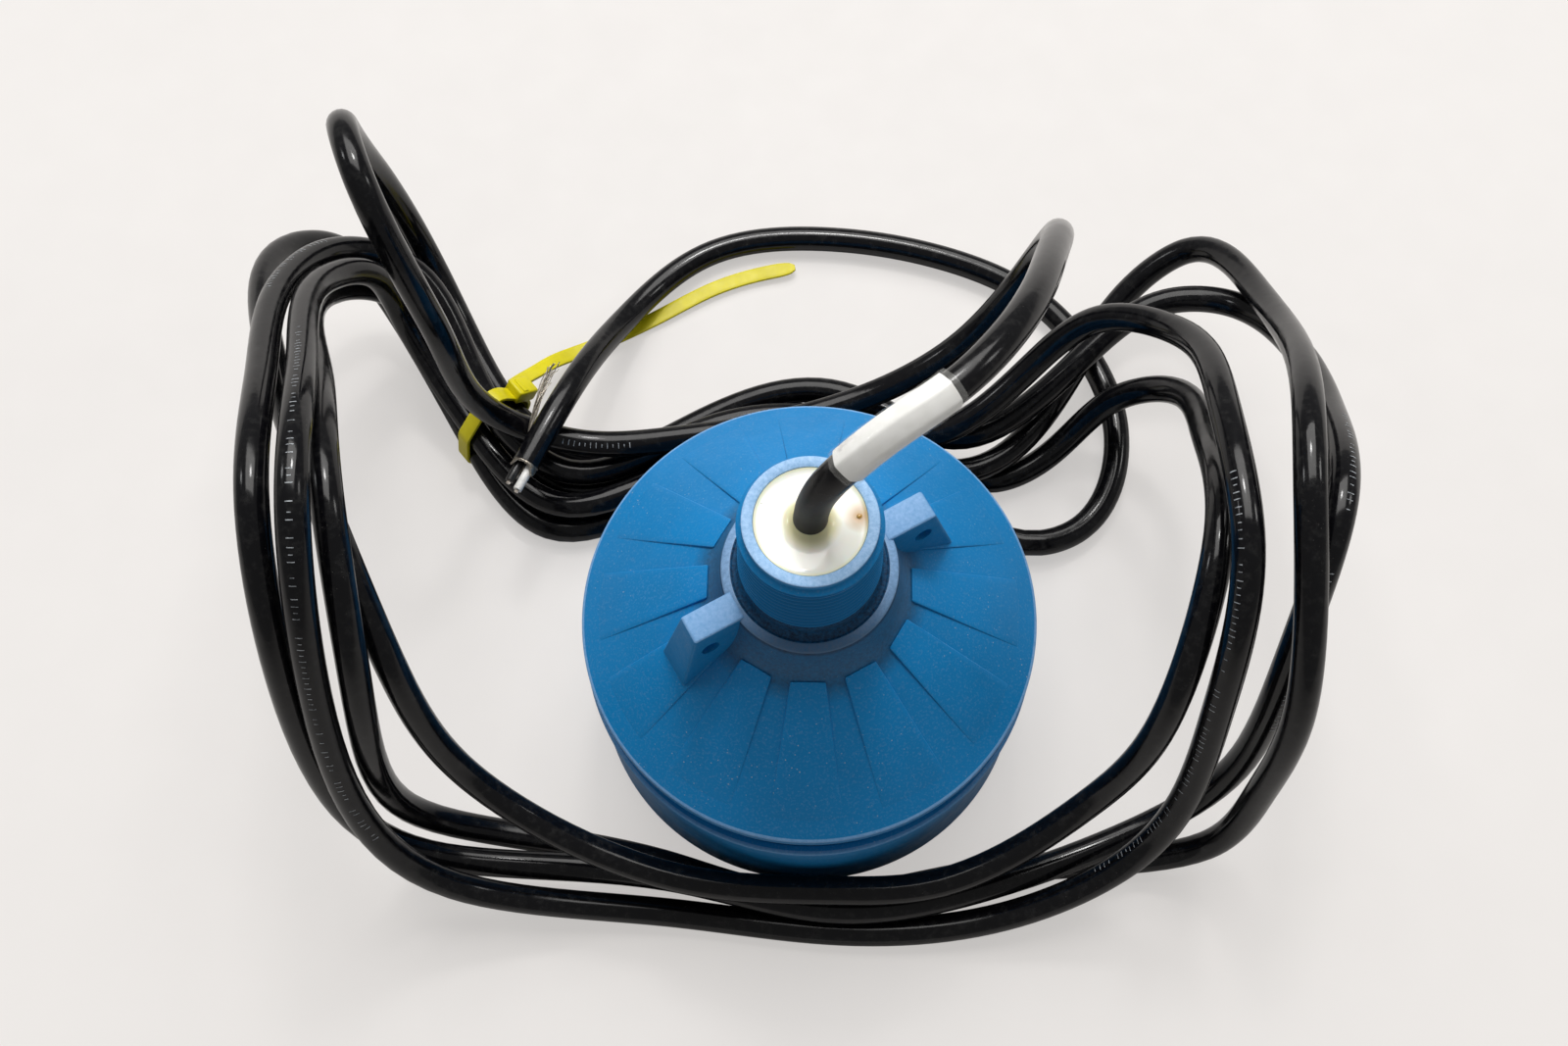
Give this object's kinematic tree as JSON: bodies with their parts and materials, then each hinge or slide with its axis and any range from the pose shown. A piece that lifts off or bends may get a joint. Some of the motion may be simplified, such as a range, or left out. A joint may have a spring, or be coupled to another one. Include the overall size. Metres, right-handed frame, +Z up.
{
  "type": "ultrasonic level transducer",
  "caption": "Potted ultrasonic level transducer with a drum-shaped plastic housing, threaded nipple and coiled, tied signal cable",
  "frame": {"origin": "centre of the flat radiating face that the transducer stands on", "axes": "+Z up along the nipple's axis, away from the radiating face; +X toward the picture's right; +Y toward the picture's top, away from the camera"},
  "size_m": [0.2903, 0.2257, 0.1707],
  "materials": {
    "housing_blue": "moulded fluoropolymer, satin, dusty and lightly scuffed on raised edges",
    "black_rubber": "matt black",
    "matching_resin": "filled resin, matt",
    "plate_metal": "plain bright metal",
    "grey_foam": "closed-cell foam, matt",
    "copper_foil": "bright copper",
    "piezo_ceramic": "unglazed ceramic",
    "red_insulation": "satin plastic",
    "black_plastic": "satin black",
    "yellow_plastic": "satin nylon",
    "white_plastic": "satin white",
    "board_green": "solder mask over glass laminate",
    "ferrite": "sintered, matt dark grey",
    "clear_resin": "cast resin, glossy",
    "cream_resin": "cast resin, glossy cream white",
    "cable_black": "satin-gloss black jacket with fine dust",
    "clear_sleeve": "clear shrink tubing, glossy"
  },
  "bodies": {
    "root": {"front_housing": "housing_blue", "rear_housing": "housing_blue", "joint_seal": "black_rubber", "matching_layer": "matching_resin", "load_plate": "plate_metal", "isolation_ring": "grey_foam", "front_electrode": "copper_foil", "piezo_disc": "piezo_ceramic", "rear_electrode": "copper_foil", "piezo_leads": "red_insulation", "backing_foam": "grey_foam", "temperature_sensor": "black_plastic", "sensor_lead": "yellow_plastic", "board_spacers": "white_plastic", "circuit_board": "board_green", "transformer_core": "ferrite", "transformer_bobbin": "white_plastic", "transformer_winding": "copper_foil", "tuning_capacitor": "red_insulation", "terminal_pins": "plate_metal", "lead_black": "black_plastic", "lead_white": "white_plastic", "drain_wire": "plate_metal", "potting_fill": "clear_resin", "potting_cap": "cream_resin", "signal_cable": "cable_black", "id_label": "white_plastic", "label_sleeve": "clear_sleeve", "cable_tie": "yellow_plastic", "end_core_black": "black_plastic", "end_core_white": "white_plastic", "end_strands": "copper_foil", "shield_braid": "plate_metal"}
  },
  "joints": []
}
